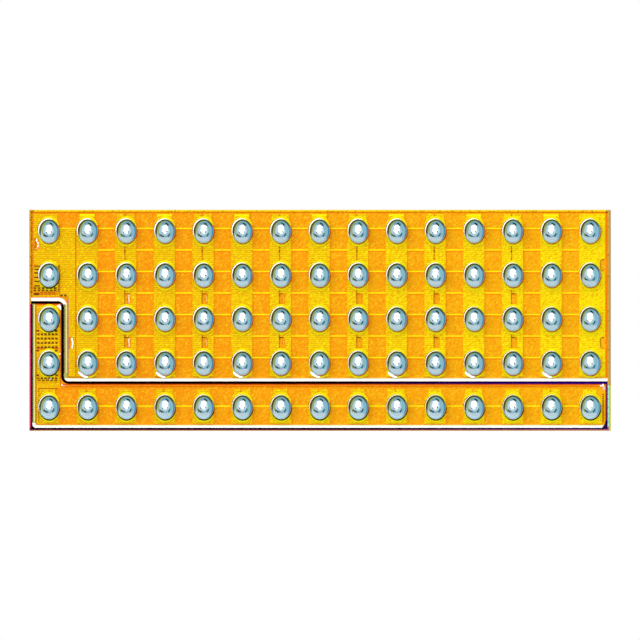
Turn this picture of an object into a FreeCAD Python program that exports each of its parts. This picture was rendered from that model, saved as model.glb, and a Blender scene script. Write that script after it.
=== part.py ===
import FreeCAD, Part
import Sketcher
import math
import os

# Half-bridge power transistor die with 75 solder bumps, seen from its bump side.
# The origin is the centre of the ground back face. +X runs along the die, +Z points out of the bumps.
# Columns are counted 0 to 14 from the left and rows 1 to 5 from the top.
# The low-side transistor fills most of the die. The high-side one is an L-shaped island,
# made of the whole bottom row and a gate part that rises at the left end.

FIRST_COLUMN = 0
COLUMN_PAIRS = 7
LAST_COLUMN = FIRST_COLUMN + 2 * COLUMN_PAIRS
FIRST_ROW = 1
ISLAND_ROW = 5
LOW_SIDE_GATE_ROW = 2
HIGH_SIDE_GATE_ROW = 3
GATE_RETURN_ROW = 4
TAP_ROWS = (3, 4)
EVERY_ROW = range(FIRST_ROW, ISLAND_ROW + 1)
EVERY_COLUMN = range(FIRST_COLUMN, LAST_COLUMN + 1)
EVEN_COLUMNS = EVERY_COLUMN[::2]
SWITCH_COLUMNS = EVERY_COLUMN[1::2]
LOW_SIDE_PADS = [(1, EVERY_COLUMN), (2, EVERY_COLUMN), (3, EVERY_COLUMN[1:]), (4, EVERY_COLUMN[1:])]
GATE_PART_PADS = [(HIGH_SIDE_GATE_ROW, [FIRST_COLUMN]), (GATE_RETURN_ROW, [FIRST_COLUMN])]
ISLAND_PADS = GATE_PART_PADS + [(ISLAND_ROW, EVERY_COLUMN)]
BUMP_SIDES = 12
BUMP_RING_ANGLES = (-42, 0, 30, 54, 73)
GATE_LINE_COUNT = 7

doc = FreeCAD.newDocument("mosfet_die")
sheet = doc.addObject("Spreadsheet::Sheet", "Sizes")
sheet_rows = iter(range(1, 200))


def size(alias, number, meaning):
    """Writes one dimension in millimetres, or a formula for one, into the sheet, with what it measures."""
    row = next(sheet_rows)
    sheet.set(f"A{row}", meaning)
    sheet.set(f"B{row}", str(number))
    sheet.setAlias(f"B{row}", alias)


# Grid of bumps, and the outline round it
size("column_pitch", 0.4, "bump pitch along X")
size("row_pitch", 0.455, "bump pitch along Y")
size("left_margin", 0.204, "first column to the die's left end")
size("right_margin", 0.212, "last column to the die's right end")
size("upper_margin", 0.2225, "first row to the die's upper side")
size("lower_margin", 0.244, "last row to the die's lower side")
size("die_length", f"={2 * COLUMN_PAIRS} * column_pitch + left_margin + right_margin", "length along X")
size("die_width", f"={ISLAND_ROW - FIRST_ROW} * row_pitch + upper_margin + lower_margin", "width along Y")

# Stack, from the back face up
size("substrate_thickness", 0.575, "ground silicon under the active layers")
size("mesa_thickness", 0.015, "epitaxial layer that holds the transistors")
size("dielectric_thickness", 0.015, "amber dielectric over the fingers")
size("bus_thickness", 0.02, "bus metal")
size("bump_standoff", 0.165, "bump top above the bus metal")

# Solder bumps
size("bump_width", 0.212, "bump across its belly, along X")
size("bump_length", 0.253, "bump across its belly, along Y")
size("belly_height", 0.072, "belly above the bump's foot")
size("pad_thickness", 0.006, "plated pad under a bump")
size("pad_rim", 0.008, "pad's edge outside the bump's foot")

# Die edge, trench and guard strips
size("street_width", 0.006, "bare silicon left by the saw")
size("right_street_width", 0.022, "bare silicon left by the saw at the right end")
size("seal_ring_width", 0.012, "metal seal ring round the die")
size("trench_width", 0.027, "isolation trench between the island and the low side")
size("edge_trench_width", 0.014, "isolation trench between the island and the seal ring")
size("guard_inset", 0.002, "trench to the low-side guard strip")
size("guard_width", 0.034, "low-side guard strip")
size("guard_bend", 0.014, "inner bend of the low-side guard strip")
size("island_guard_width", 0.03, "guard strip along the island's outer edges")
size("corner_radius", 0.035, "outer corners of the island")
size("gate_part_width", 0.298, "island's gate part along X")
size("gate_part_reach", 0.16, "gate part above the third row")
size("input_row_reach", 0.24, "island above the fifth row")

# Bus metal
size("bus_gap", 0.012, "space beside a piece of bus metal")
size("bar_width", 0.22, "bus bar under a column of bumps")
size("bar_offset", 0.0075, "bus bar's middle left of its bumps")
size("bar_end_margin", 0.041, "die edge to the ends of the bus bars")
size("edge_metal_gap", 0.026, "seal ring to the sides of the end plates")
size("neck_length", 0.05, "narrow end of a bus bar")
size("shoulder_length", 0.06, "taper from a bar to its neck")
size("ground_neck_width", 0.181, "neck of a ground bar")
size("switch_neck_width", 0.16, "neck of a low-side switch bar")
size("input_neck_width", 0.14, "neck of an input bar")
size("output_neck_width", 0.176, "neck of a switch bar in the island")
size("island_end_margin", 0.05, "island's top edge to the ends of its bars")
size("window_offset", 0.086, "first column to the window in the end plate")
size("window_depth", 0.157, "window in the end plate along Y")
size("gate_pad_reach", 0.093, "low-side gate pad above its bump")
size("island_pad_reach", 0.14, "island's gate pads above their bumps")
size("gate_pad_tail", 0.295, "high-side gate pad below its bump")
size("return_pad_tail", 0.19, "gate return pad below its bump")
size("edge_line_width", 0.011, "thin metal line along the island's top edge")
size("edge_line_margin", 0.012, "trench to that line")

# Slits and gate taps in the bars, and gate lines under them
size("slit_width", 0.014, "slit that splits a bar between its bumps")
size("slit_offset", 0.016, "slit's middle left of the column")
size("slit_clearance", 0.008, "slit's end to the bump's belly")
size("tap_length", 0.127, "gate tap along Y")
size("tap_width", 0.066, "gate tap along X")
size("tap_rise", 0.209, "gate tap's middle above the row below it")
size("tap_corner", 0.018, "cut corners of a gate tap")
size("edge_tap_width", 0.054, "gate tap at the edge of an end plate, along X")
size("left_tap_rise", 0.32, "upper left gate tap above the second row")
size("right_tap_rise", 0.105, "upper right gate tap above the second row")
size("gate_line_pitch", 0.2227, "pitch of the gate lines")
size("gate_line_start", 0.03, "first gate line above the first row")
size("gate_line_width", 0.015, "gate line along Y")
size("gate_line_height", 0.006, "thickness of a gate line")
size("gate_line_sink", 0.002, "gate line below the dielectric's surface")
size("input_line_rise", 0.0125, "island's gate line above the fifth row")
doc.recompute()

HALF_LENGTH = "Sizes.die_length / 2"
HALF_WIDTH = "Sizes.die_width / 2"
MESA_FLOOR = "Sizes.substrate_thickness"
DIELECTRIC_FLOOR = f"{MESA_FLOOR} + Sizes.mesa_thickness"
BUS_FLOOR = f"{DIELECTRIC_FLOOR} + Sizes.dielectric_thickness"
BUS_TOP = f"{BUS_FLOOR} + Sizes.bus_thickness"
RING_INSET = ("street_width", "seal_ring_width")
RIGHT_RING_INSET = ("right_street_width", "seal_ring_width")
ISLAND_INSET = RING_INSET + ("edge_trench_width",)
RIGHT_ISLAND_INSET = RIGHT_RING_INSET + ("edge_trench_width",)
GUARD_INNER = ("trench_width", "guard_inset")
GUARD_OUTER = GUARD_INNER + ("guard_width",)


def value(*aliases):
    """Driving dimensions added up, as a number."""
    return sum(float(sheet.get(alias)) for alias in aliases)


def added(aliases):
    """Driving dimensions added up, as an expression."""
    return " + ".join(f"Sizes.{alias}" for alias in aliases) or "0"


def plus(*terms):
    return " + ".join(f"({term})" for term in terms)


def minus(base, *less):
    return f"({base})" + "".join(f" - ({term})" for term in less)


def column_x(column):
    return f"(Sizes.left_margin + {column - FIRST_COLUMN} * Sizes.column_pitch - {HALF_LENGTH})"


def row_y(row):
    return f"({HALF_WIDTH} - Sizes.upper_margin - {row - FIRST_ROW} * Sizes.row_pitch)"


def bar_left(column):
    return minus(column_x(column), "Sizes.bar_offset", "Sizes.bar_width / 2")


def bar_right(column):
    return plus(bar_left(column), "Sizes.bar_width")


METAL_LEFT = minus(plus(added(RING_INSET), "Sizes.edge_metal_gap"), HALF_LENGTH)
METAL_RIGHT = minus(HALF_LENGTH, added(RIGHT_RING_INSET), "Sizes.edge_metal_gap")
ISLAND_LEFT = minus(added(ISLAND_INSET), HALF_LENGTH)
ISLAND_RIGHT = minus(HALF_LENGTH, added(RIGHT_ISLAND_INSET))
ISLAND_BOTTOM = minus(added(ISLAND_INSET), HALF_WIDTH)
ISLAND_METAL_LEFT = plus(ISLAND_LEFT, "Sizes.island_guard_width", "Sizes.bus_gap")
ISLAND_METAL_RIGHT = minus(ISLAND_RIGHT, "Sizes.island_guard_width", "Sizes.bus_gap")
ISLAND_METAL_BOTTOM = plus(ISLAND_BOTTOM, "Sizes.island_guard_width", "Sizes.bus_gap")
GATE_PART_RIGHT = plus(ISLAND_LEFT, "Sizes.gate_part_width")
GATE_PART_TOP = plus(row_y(HIGH_SIDE_GATE_ROW), "Sizes.gate_part_reach")
INPUT_ROW_TOP = plus(row_y(ISLAND_ROW), "Sizes.input_row_reach")
LOW_SIDE_METAL_BOTTOM = plus(INPUT_ROW_TOP, added(GUARD_OUTER), "Sizes.bus_gap")
LOW_SIDE_METAL_TOP = minus(HALF_WIDTH, "Sizes.bar_end_margin")


def new(kind, name):
    made = doc.addObject(kind, name)
    made.Label = name
    return made


def slab(name, low, high):
    """A box from its low corner to its high corner, each given as three expressions."""
    made = new("Part::Box", name)
    for side, axis, start, end in zip(("Length", "Width", "Height"), "xyz", low, high):
        made.setExpression(side, minus(end, start))
        made.setExpression(f"Placement.Base.{axis}", start)
    return made


def taper(name, low_y, high_y, low_sides, high_sides):
    """Bus metal that narrows from its low side to its high side."""
    made = new("Part::Wedge", name)
    left, right = low_sides
    high_left, high_right = high_sides
    for start in ("Xmin", "Ymin", "Zmin", "Z2min"):
        setattr(made, start, 0)
    made.setExpression("Xmax", minus(right, left))
    made.setExpression("X2min", minus(high_left, left))
    made.setExpression("X2max", minus(high_right, left))
    made.setExpression("Ymax", minus(high_y, low_y))
    made.setExpression("Zmax", "Sizes.bus_thickness")
    made.setExpression("Z2max", "Sizes.bus_thickness")
    made.setExpression("Placement.Base.x", left)
    made.setExpression("Placement.Base.y", low_y)
    made.setExpression("Placement.Base.z", BUS_FLOOR)
    return made


def group(name, pieces):
    made = new("Part::Compound", name)
    made.Links = pieces
    return made


def fuse(name, pieces):
    made = new("Part::MultiFuse", name)
    made.Shapes = pieces
    made.Refine = True
    return made


def join_two(kind, name, base, tool):
    """A Part::Cut or Part::Common of two shapes."""
    made = new(kind, name)
    made.Base = base
    made.Tool = tool
    return made


def upright_edge(shape, x, y):
    """Number of the edge that stands at a plan position: both its ends are nearest to it."""
    boxes = [edge.BoundBox for edge in shape.Edges]
    away = [math.hypot(box.XMin - x, box.YMin - y) + math.hypot(box.XMax - x, box.YMax - y) for box in boxes]
    return away.index(min(away)) + 1


def dress_corners(kind, name, base, spots, amount):
    """A Part::Fillet or Part::Chamfer of the upright edges at the given spots."""
    base.recompute(True)
    made = new(kind, name)
    made.Base = base
    made.Edges = [(upright_edge(base.Shape, x, y), amount, amount) for x, y in spots]
    return made


def bus_metal(name, low, high):
    """A box of bus metal, from two plan corners."""
    return slab(name, (*low, BUS_FLOOR), (*high, BUS_TOP))


def ell_block(name, inset, right_inset, grow, floor, top):
    """The island's L. Its inner edges move out by grow, and its outer ones lie inset from the die's."""
    left = minus(added(inset), HALF_LENGTH)
    right = minus(HALF_LENGTH, added(right_inset))
    bottom = minus(added(inset), HALF_WIDTH)
    row_corner = (right, plus(INPUT_ROW_TOP, added(grow)), top)
    gate_corner = (plus(GATE_PART_RIGHT, added(grow)), plus(GATE_PART_TOP, added(grow)), top)
    row_block = slab(f"{name}_row", (left, bottom, floor), row_corner)
    gate_block = slab(f"{name}_gate", (left, bottom, floor), gate_corner)
    block = fuse(f"{name}_block", [row_block, gate_block])
    block.recompute(True)
    side = gate_block.Shape.BoundBox
    bend = value("guard_bend", *GUARD_OUTER) - value(*grow)
    inner_corner = (side.XMax, row_block.Shape.BoundBox.YMax)
    bent = dress_corners("Part::Fillet", f"{name}_bent", block, [inner_corner], bend)
    return dress_corners("Part::Fillet", name, bent, [(side.XMax, side.YMax)], value("corner_radius", *grow))


def island_block(name, floor, top):
    """The island itself, with its bottom left corner rounded too."""
    block = ell_block(f"{name}_ell", ISLAND_INSET, RIGHT_ISLAND_INSET, (), floor, top)
    block.recompute(True)
    corner = (block.Shape.BoundBox.XMin, block.Shape.BoundBox.YMin)
    return dress_corners("Part::Fillet", name, block, [corner], value("corner_radius"))


def inside_ring(name, floor, top):
    low = (minus(added(RING_INSET), HALF_LENGTH), minus(added(RING_INSET), HALF_WIDTH), floor)
    high = (minus(HALF_LENGTH, added(RIGHT_RING_INSET)), minus(HALF_WIDTH, added(RING_INSET)), top)
    return slab(name, low, high)


def low_side_block(name, floor, top):
    """Everything inside the seal ring, without the island and its trench."""
    island = ell_block(f"{name}_island", (), (), ("trench_width",), floor, top)
    return join_two("Part::Cut", name, inside_ring(f"{name}_inside", floor, top), island)


def silicon_substrate():
    """Ground and sawn silicon, as a padded sketch."""
    body = new("PartDesign::Body", "silicon_substrate")
    outline = body.newObject("Sketcher::SketchObject", "die_outline")
    plane = next(item for item in body.Origin.OriginFeatures if item.Role == "XY_Plane")
    outline.AttachmentSupport = [(plane, "")]
    outline.MapMode = "FlatFace"
    half_length = value("die_length") / 2
    half_width = value("die_width") / 2
    signs = ((-1, -1), (1, -1), (1, 1), (-1, 1))
    corners = [FreeCAD.Vector(x * half_length, y * half_width) for x, y in signs]
    for line in range(4):
        outline.addGeometry(Part.LineSegment(corners[line], corners[(line + 1) % 4]), False)
    for line in range(4):
        outline.addConstraint(Sketcher.Constraint("Coincident", line, 2, (line + 1) % 4, 1))
    for line in (0, 2):
        outline.addConstraint(Sketcher.Constraint("Horizontal", line))
        outline.addConstraint(Sketcher.Constraint("Vertical", line + 1))
    outline.addConstraint(Sketcher.Constraint("Symmetric", 0, 1, 1, 2, -1, 1))
    along = outline.addConstraint(Sketcher.Constraint("DistanceX", 0, 1, 0, 2, 2 * half_length))
    across = outline.addConstraint(Sketcher.Constraint("DistanceY", 1, 1, 1, 2, 2 * half_width))
    outline.setExpression(f"Constraints[{along}]", "Sizes.die_length")
    outline.setExpression(f"Constraints[{across}]", "Sizes.die_width")
    pad = body.newObject("PartDesign::Pad", "die_pad")
    pad.Profile = outline
    pad.setExpression("Length", MESA_FLOOR)
    return body


def seal_ring():
    """Metal wall that stands on the silicon all round the active layers."""
    low = (minus("Sizes.street_width", HALF_LENGTH), minus("Sizes.street_width", HALF_WIDTH), MESA_FLOOR)
    high = (minus(HALF_LENGTH, "Sizes.right_street_width"), minus(HALF_WIDTH, "Sizes.street_width"), BUS_TOP)
    outside = slab("seal_ring_outside", low, high)
    return join_two("Part::Cut", "seal_ring", outside, inside_ring("seal_ring_inside", MESA_FLOOR, BUS_TOP))


def gate_line(name, start_column, middle_y, top):
    """A strip from a column to the last one. Its floor is the groove's, and top says how far up it goes."""
    half = "Sizes.gate_line_width / 2"
    floor = minus(BUS_FLOOR, "Sizes.gate_line_sink", "Sizes.gate_line_height")
    low = (column_x(start_column), minus(middle_y, half), floor)
    return slab(name, low, (column_x(LAST_COLUMN), plus(middle_y, half), top))


def low_side_lines(name, top):
    """Seven strips across the low side. Only the first one starts at the end plate's window."""
    lines = []
    for number in range(GATE_LINE_COUNT):
        middle = minus(plus(row_y(1), "Sizes.gate_line_start"), f"{number} * Sizes.gate_line_pitch")
        start = FIRST_COLUMN if number == 0 else FIRST_COLUMN + 1
        lines.append(gate_line(f"{name}_{number + 1}", start, middle, top))
    return group(name, lines)


def input_line(name, top):
    return gate_line(name, FIRST_COLUMN, plus(row_y(ISLAND_ROW), "Sizes.input_line_rise"), top)


def low_side_guard_strip():
    """Pale strip that follows the trench on the low side, from the left edge to the right one."""
    outer = ell_block("guard_outer", (), (), GUARD_OUTER, BUS_FLOOR, BUS_TOP)
    inner = ell_block("guard_inner", (), (), GUARD_INNER, BUS_FLOOR, BUS_TOP)
    whole = join_two("Part::Cut", "guard_whole", outer, inner)
    reach = inside_ring("guard_reach", BUS_FLOOR, BUS_TOP)
    return join_two("Part::Common", "low_side_guard_strip", reach, whole)


def island_guard_strip():
    """Pale strip along the island's left and bottom edges."""
    low = (ISLAND_LEFT, ISLAND_BOTTOM)
    inner_x = plus(ISLAND_LEFT, "Sizes.island_guard_width")
    inner_y = plus(ISLAND_BOTTOM, "Sizes.island_guard_width")
    upright = bus_metal("island_guard_left", low, (inner_x, GATE_PART_TOP))
    level = bus_metal("island_guard_bottom", low, (ISLAND_RIGHT, inner_y))
    both = fuse("island_guard_both", [upright, level])
    outline = island_block("island_guard_outline", BUS_FLOOR, BUS_TOP)
    return join_two("Part::Common", "island_guard_strip", both, outline)


def island_edge_line():
    """Thin line along the island's top edge."""
    top = minus(INPUT_ROW_TOP, "Sizes.edge_line_margin")
    low = (plus(GATE_PART_RIGHT, "Sizes.bus_gap"), minus(top, "Sizes.edge_line_width"))
    return bus_metal("island_edge_line", low, (ISLAND_METAL_RIGHT, top))


def slit(name, column, low_y, high_y):
    middle = minus(column_x(column), "Sizes.slit_offset")
    half = "Sizes.slit_width / 2"
    return bus_metal(name, (minus(middle, half), low_y), (plus(middle, half), high_y))


def bump_edge(row, way):
    """Where a slit ends above (way +) or below (way -) the bump of a row."""
    return f"{row_y(row)} {way} (Sizes.bump_length / 2 + Sizes.slit_clearance)"


def gate_tap(name, left, right, middle_y, cut_side):
    """A slot through the bus metal with its two corners cut on one side."""
    half = "Sizes.tap_length / 2"
    block = bus_metal(f"{name}_block", (left, minus(middle_y, half)), (right, plus(middle_y, half)))
    block.recompute(True)
    box = block.Shape.BoundBox
    side = box.XMax if cut_side == "right" else box.XMin
    corners = [(side, box.YMin), (side, box.YMax)]
    return dress_corners("Part::Chamfer", name, block, corners, value("tap_corner"))


def bar_with_neck(name, column, neck_width, low_y, high_y, left=None, right=None):
    """A bus bar under one column, with its shoulders and neck at the top end."""
    middle = minus(column_x(column), "Sizes.bar_offset")
    left = left or bar_left(column)
    right = right or bar_right(column)
    neck_left = minus(middle, f"Sizes.{neck_width} / 2")
    neck_right = plus(middle, f"Sizes.{neck_width} / 2")
    neck_low = minus(high_y, "Sizes.neck_length")
    shoulder_low = minus(neck_low, "Sizes.shoulder_length")
    body = bus_metal(f"{name}_body", (left, low_y), (right, shoulder_low))
    shoulder = taper(f"{name}_shoulder", shoulder_low, neck_low, (left, right), (neck_left, neck_right))
    neck = bus_metal(f"{name}_neck", (neck_left, neck_low), (neck_right, high_y))
    return [body, shoulder, neck]


def ground_bar(column):
    """A source bar: slits split it between its bumps, and two gate taps widen them."""
    name = f"ground_bar_{column:02d}"
    pieces = bar_with_neck(name, column, "ground_neck_width", LOW_SIDE_METAL_BOTTOM, LOW_SIDE_METAL_TOP)
    openings = [slit(f"{name}_slit_top", column, bump_edge(1, "+"), LOW_SIDE_METAL_TOP)]
    for row in (1, 2, 3):
        openings.append(slit(f"{name}_slit_{row}", column, bump_edge(row + 1, "+"), bump_edge(row, "-")))
    left = minus(column_x(column), "Sizes.slit_offset", "Sizes.slit_width / 2")
    for row in TAP_ROWS:
        middle = plus(row_y(row), "Sizes.tap_rise")
        right = plus(left, "Sizes.tap_width")
        openings.append(gate_tap(f"{name}_tap_{row}", left, right, middle, "right"))
    return join_two("Part::Cut", name, fuse(f"{name}_metal", pieces), fuse(f"{name}_openings", openings))


def low_side_switch_bar(column):
    name = f"switch_bar_{column:02d}"
    low_y = LOW_SIDE_METAL_BOTTOM
    return fuse(name, bar_with_neck(name, column, "switch_neck_width", low_y, LOW_SIDE_METAL_TOP))


def ground_end_bar():
    """The last ground bar reaches the die's right edge, where two gate taps cut into it."""
    low = (bar_left(LAST_COLUMN), LOW_SIDE_METAL_BOTTOM)
    metal = bus_metal("ground_end_bar_metal", low, (METAL_RIGHT, LOW_SIDE_METAL_TOP))
    left = minus(METAL_RIGHT, "Sizes.edge_tap_width")
    upper_middle = plus(row_y(2), "Sizes.right_tap_rise")
    upper = gate_tap("ground_end_bar_tap_2", left, METAL_RIGHT, upper_middle, "left")
    lower = gate_tap("ground_end_bar_tap_4", left, METAL_RIGHT, plus(row_y(4), "Sizes.tap_rise"), "left")
    return join_two("Part::Cut", "ground_end_bar", metal, group("ground_end_bar_taps", [upper, lower]))


def ground_end_plate():
    """Ground metal left of the first switch bar. It steps round the gate pad and the island's gate part."""
    left = METAL_LEFT
    right = minus(bar_left(FIRST_COLUMN + 1), "Sizes.bus_gap")
    pad_right = plus(bar_right(FIRST_COLUMN), "Sizes.bus_gap")
    pad_top = plus(row_y(LOW_SIDE_GATE_ROW), "Sizes.gate_pad_reach", "Sizes.bus_gap")
    strip_right = plus(GATE_PART_RIGHT, added(GUARD_OUTER), "Sizes.bus_gap")
    strip_top = plus(GATE_PART_TOP, added(GUARD_OUTER), "Sizes.bus_gap")
    window_low = minus(LOW_SIDE_METAL_TOP, "Sizes.window_depth")
    window_left = plus(column_x(FIRST_COLUMN), "Sizes.window_offset")
    steps = [
        bus_metal("end_plate_top", (left, pad_top), (window_left, LOW_SIDE_METAL_TOP)),
        bus_metal("end_plate_middle", (left, pad_top), (right, window_low)),
        bus_metal("end_plate_beside_pad", (pad_right, strip_top), (right, window_low)),
        bus_metal("end_plate_beside_trench", (strip_right, LOW_SIDE_METAL_BOTTOM), (right, window_low)),
    ]
    metal = fuse("end_plate_metal", steps)
    upper_middle = plus(row_y(2), "Sizes.left_tap_rise")
    upper = gate_tap("end_plate_tap_2", left, plus(left, "Sizes.edge_tap_width"), upper_middle, "right")
    lower_middle = plus(row_y(4), "Sizes.tap_rise")
    lower_right = plus(strip_right, "Sizes.edge_tap_width")
    lower = gate_tap("end_plate_tap_4", strip_right, lower_right, lower_middle, "right")
    return join_two("Part::Cut", "ground_end_plate", metal, group("end_plate_taps", [upper, lower]))


def low_side_gate_pad():
    low = (METAL_LEFT, plus(GATE_PART_TOP, added(GUARD_OUTER), "Sizes.bus_gap"))
    high = (bar_right(FIRST_COLUMN), plus(row_y(LOW_SIDE_GATE_ROW), "Sizes.gate_pad_reach"))
    return bus_metal("low_side_gate_pad", low, high)


def island_pad(name, row, tail):
    low = (ISLAND_METAL_LEFT, minus(row_y(row), f"Sizes.{tail}"))
    return bus_metal(name, low, (bar_right(FIRST_COLUMN), plus(row_y(row), "Sizes.island_pad_reach")))


def input_bar(column):
    """A bar of the island's bottom row. The first and last ones reach out to the island's edges."""
    name = f"input_bar_{column:02d}"
    left = ISLAND_METAL_LEFT if column == FIRST_COLUMN else None
    right = ISLAND_METAL_RIGHT if column == LAST_COLUMN else None
    top = minus(INPUT_ROW_TOP, "Sizes.island_end_margin")
    return fuse(name, bar_with_neck(name, column, "input_neck_width", ISLAND_METAL_BOTTOM, top, left, right))


def island_switch_bar(column):
    """The high side's source bar, with a slit from its bump to its end."""
    name = f"output_bar_{column:02d}"
    top = minus(INPUT_ROW_TOP, "Sizes.island_end_margin")
    metal = fuse(f"{name}_metal", bar_with_neck(name, column, "output_neck_width", ISLAND_METAL_BOTTOM, top))
    return join_two("Part::Cut", name, metal, slit(f"{name}_slit", column, bump_edge(ISLAND_ROW, "+"), top))


def oval_ring(width, length, height):
    """Closed outline with BUMP_SIDES corners on an oval."""
    corners = []
    for side in range(BUMP_SIDES):
        angle = 2 * math.pi * (side + 0.5) / BUMP_SIDES
        corners.append(FreeCAD.Vector(width / 2 * math.cos(angle), length / 2 * math.sin(angle), height))
    return Part.makePolygon(corners + corners[:1])


def on_bus_metal(row, columns, piece, lift):
    """Copies of a piece over the bumps' places in one row, lifted above the bus metal."""
    z = lift + value("substrate_thickness", "mesa_thickness", "dielectric_thickness", "bus_thickness")
    y = value("die_width") / 2 - value("upper_margin") - (row - FIRST_ROW) * value("row_pitch")
    first_x = value("left_margin") - value("die_length") / 2
    x_places = [first_x + (column - FIRST_COLUMN) * value("column_pitch") for column in columns]
    return [piece.translated(FreeCAD.Vector(x, y, z)) for x in x_places]


def reflowed_bump():
    """Solder drawn flat by reflow: oval rings from the foot over the belly to a small flat crown."""
    height = value("bump_standoff") - value("pad_thickness")
    belly = value("belly_height")
    foot = -math.sin(math.radians(BUMP_RING_ANGLES[0]))
    crown = math.sin(math.radians(BUMP_RING_ANGLES[-1]))
    rings = []
    for degrees in BUMP_RING_ANGLES:
        share = math.cos(math.radians(degrees))
        lift = math.sin(math.radians(degrees))
        rise = (height - belly) * lift / crown if lift > 0 else belly * lift / foot
        rings.append(oval_ring(share * value("bump_width"), share * value("bump_length"), belly + rise))
    return Part.makeLoft(rings, True, True)


def plated_pad():
    """Pad that the bump's foot wets, a little wider than the foot."""
    foot = math.cos(math.radians(BUMP_RING_ANGLES[0]))
    width = foot * value("bump_width") + 2 * value("pad_rim")
    length = foot * value("bump_length") + 2 * value("pad_rim")
    return Part.Face(oval_ring(width, length, 0)).extrude(FreeCAD.Vector(0, 0, value("pad_thickness")))


BUMP = reflowed_bump()
PAD = plated_pad()


def bumps(name, row, columns):
    """The solder bumps of one net in one row, as separate solids."""
    made = new("Part::Feature", name)
    made.Shape = Part.Compound(on_bus_metal(row, columns, BUMP, value("pad_thickness")))
    return made


def pads(name, rows_and_columns):
    """The plated pads of one transistor, as separate solids."""
    made = new("Part::Feature", name)
    placed = [on_bus_metal(row, columns, PAD, 0) for row, columns in rows_and_columns]
    made.Shape = Part.Compound(sum(placed, []))
    return made


LINE_TOP = minus(BUS_FLOOR, "Sizes.gate_line_sink")
low_side_gate_lines = low_side_lines("low_side_gate_lines", LINE_TOP)
island_gate_line = input_line("island_gate_line", LINE_TOP)
low_side_dielectric = join_two(
    "Part::Cut",
    "low_side_dielectric",
    low_side_block("low_side_dielectric_block", DIELECTRIC_FLOOR, BUS_FLOOR),
    low_side_lines("low_side_grooves", BUS_FLOOR),
)
island_dielectric = join_two(
    "Part::Cut",
    "island_dielectric",
    island_block("island_dielectric_block", DIELECTRIC_FLOOR, BUS_FLOOR),
    input_line("island_groove", BUS_FLOOR),
)

nodes = [silicon_substrate(), seal_ring()]
nodes += [low_side_block("low_side_mesa", MESA_FLOOR, DIELECTRIC_FLOOR)]
nodes += [island_block("island_mesa", MESA_FLOOR, DIELECTRIC_FLOOR)]
nodes += [low_side_dielectric, island_dielectric, low_side_gate_lines, island_gate_line]
nodes += [ground_end_plate(), low_side_gate_pad()]
nodes += [low_side_switch_bar(column) for column in SWITCH_COLUMNS]
nodes += [ground_bar(column) for column in EVEN_COLUMNS[1:-1]]
nodes += [ground_end_bar(), low_side_guard_strip()]
nodes += [island_pad("high_side_gate_pad", HIGH_SIDE_GATE_ROW, "gate_pad_tail")]
nodes += [island_pad("gate_return_pad", GATE_RETURN_ROW, "return_pad_tail")]
nodes += [input_bar(column) for column in EVEN_COLUMNS]
nodes += [island_switch_bar(column) for column in SWITCH_COLUMNS]
nodes += [island_guard_strip(), island_edge_line()]
nodes += [pads("low_side_bump_pads", LOW_SIDE_PADS), pads("island_bump_pads", ISLAND_PADS)]
nodes += [bumps(f"switch_bumps_row_{row}", row, SWITCH_COLUMNS) for row in EVERY_ROW]
nodes += [bumps(f"ground_bumps_row_{FIRST_ROW}", FIRST_ROW, EVEN_COLUMNS)]
nodes += [bumps(f"ground_bumps_row_{row}", row, EVEN_COLUMNS[1:]) for row in EVERY_ROW[1:-1]]
nodes += [bumps(f"input_bumps_row_{ISLAND_ROW}", ISLAND_ROW, EVEN_COLUMNS)]
nodes += [bumps("low_side_gate_bump", LOW_SIDE_GATE_ROW, [FIRST_COLUMN])]
nodes += [bumps("high_side_gate_bump", HIGH_SIDE_GATE_ROW, [FIRST_COLUMN])]
nodes += [bumps("gate_return_bump", GATE_RETURN_ROW, [FIRST_COLUMN])]

doc.recompute()
for item in doc.Objects:
    if "Invalid" in item.State or "Error" in item.State:
        raise RuntimeError(f"{item.Name} failed: {item.State}")
for node in nodes:
    if node.Shape.isNull() or not node.Shape.isValid() or not node.Shape.Solids:
        raise RuntimeError(f"{node.Label} has no valid solid")

os.makedirs("parts", exist_ok=True)
for node in nodes:
    node.Shape.exportStep(f"parts/{node.Label}.step")
    print(node.Label, len(node.Shape.Solids), round(node.Shape.Volume, 6))
print(len(nodes), "nodes")
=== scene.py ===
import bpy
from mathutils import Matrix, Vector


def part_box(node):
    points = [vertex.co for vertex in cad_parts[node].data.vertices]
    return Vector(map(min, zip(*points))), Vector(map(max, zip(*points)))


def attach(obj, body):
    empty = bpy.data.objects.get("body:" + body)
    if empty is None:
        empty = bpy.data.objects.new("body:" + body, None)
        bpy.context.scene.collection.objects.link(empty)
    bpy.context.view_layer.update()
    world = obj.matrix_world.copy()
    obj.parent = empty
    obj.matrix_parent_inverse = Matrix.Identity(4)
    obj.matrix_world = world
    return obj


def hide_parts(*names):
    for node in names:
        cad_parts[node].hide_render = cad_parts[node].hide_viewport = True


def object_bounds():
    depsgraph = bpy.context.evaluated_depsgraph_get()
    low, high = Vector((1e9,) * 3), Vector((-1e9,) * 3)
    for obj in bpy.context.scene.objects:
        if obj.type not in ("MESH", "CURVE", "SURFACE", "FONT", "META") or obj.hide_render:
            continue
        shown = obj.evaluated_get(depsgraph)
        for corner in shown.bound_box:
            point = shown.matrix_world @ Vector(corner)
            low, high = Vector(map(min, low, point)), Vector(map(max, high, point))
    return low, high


bl_info = {
    "name": "Mosfet die",
    "version": (1, 0, 0),
    "blender": (4, 5, 0),
    "location": "3D View > Sidebar > Die",
    "description": "Finishes and fine surface detail of a bumped power transistor die",
    "category": "Object",
}

import math
import bmesh
import bpy
from mathutils import Matrix, Vector

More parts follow.
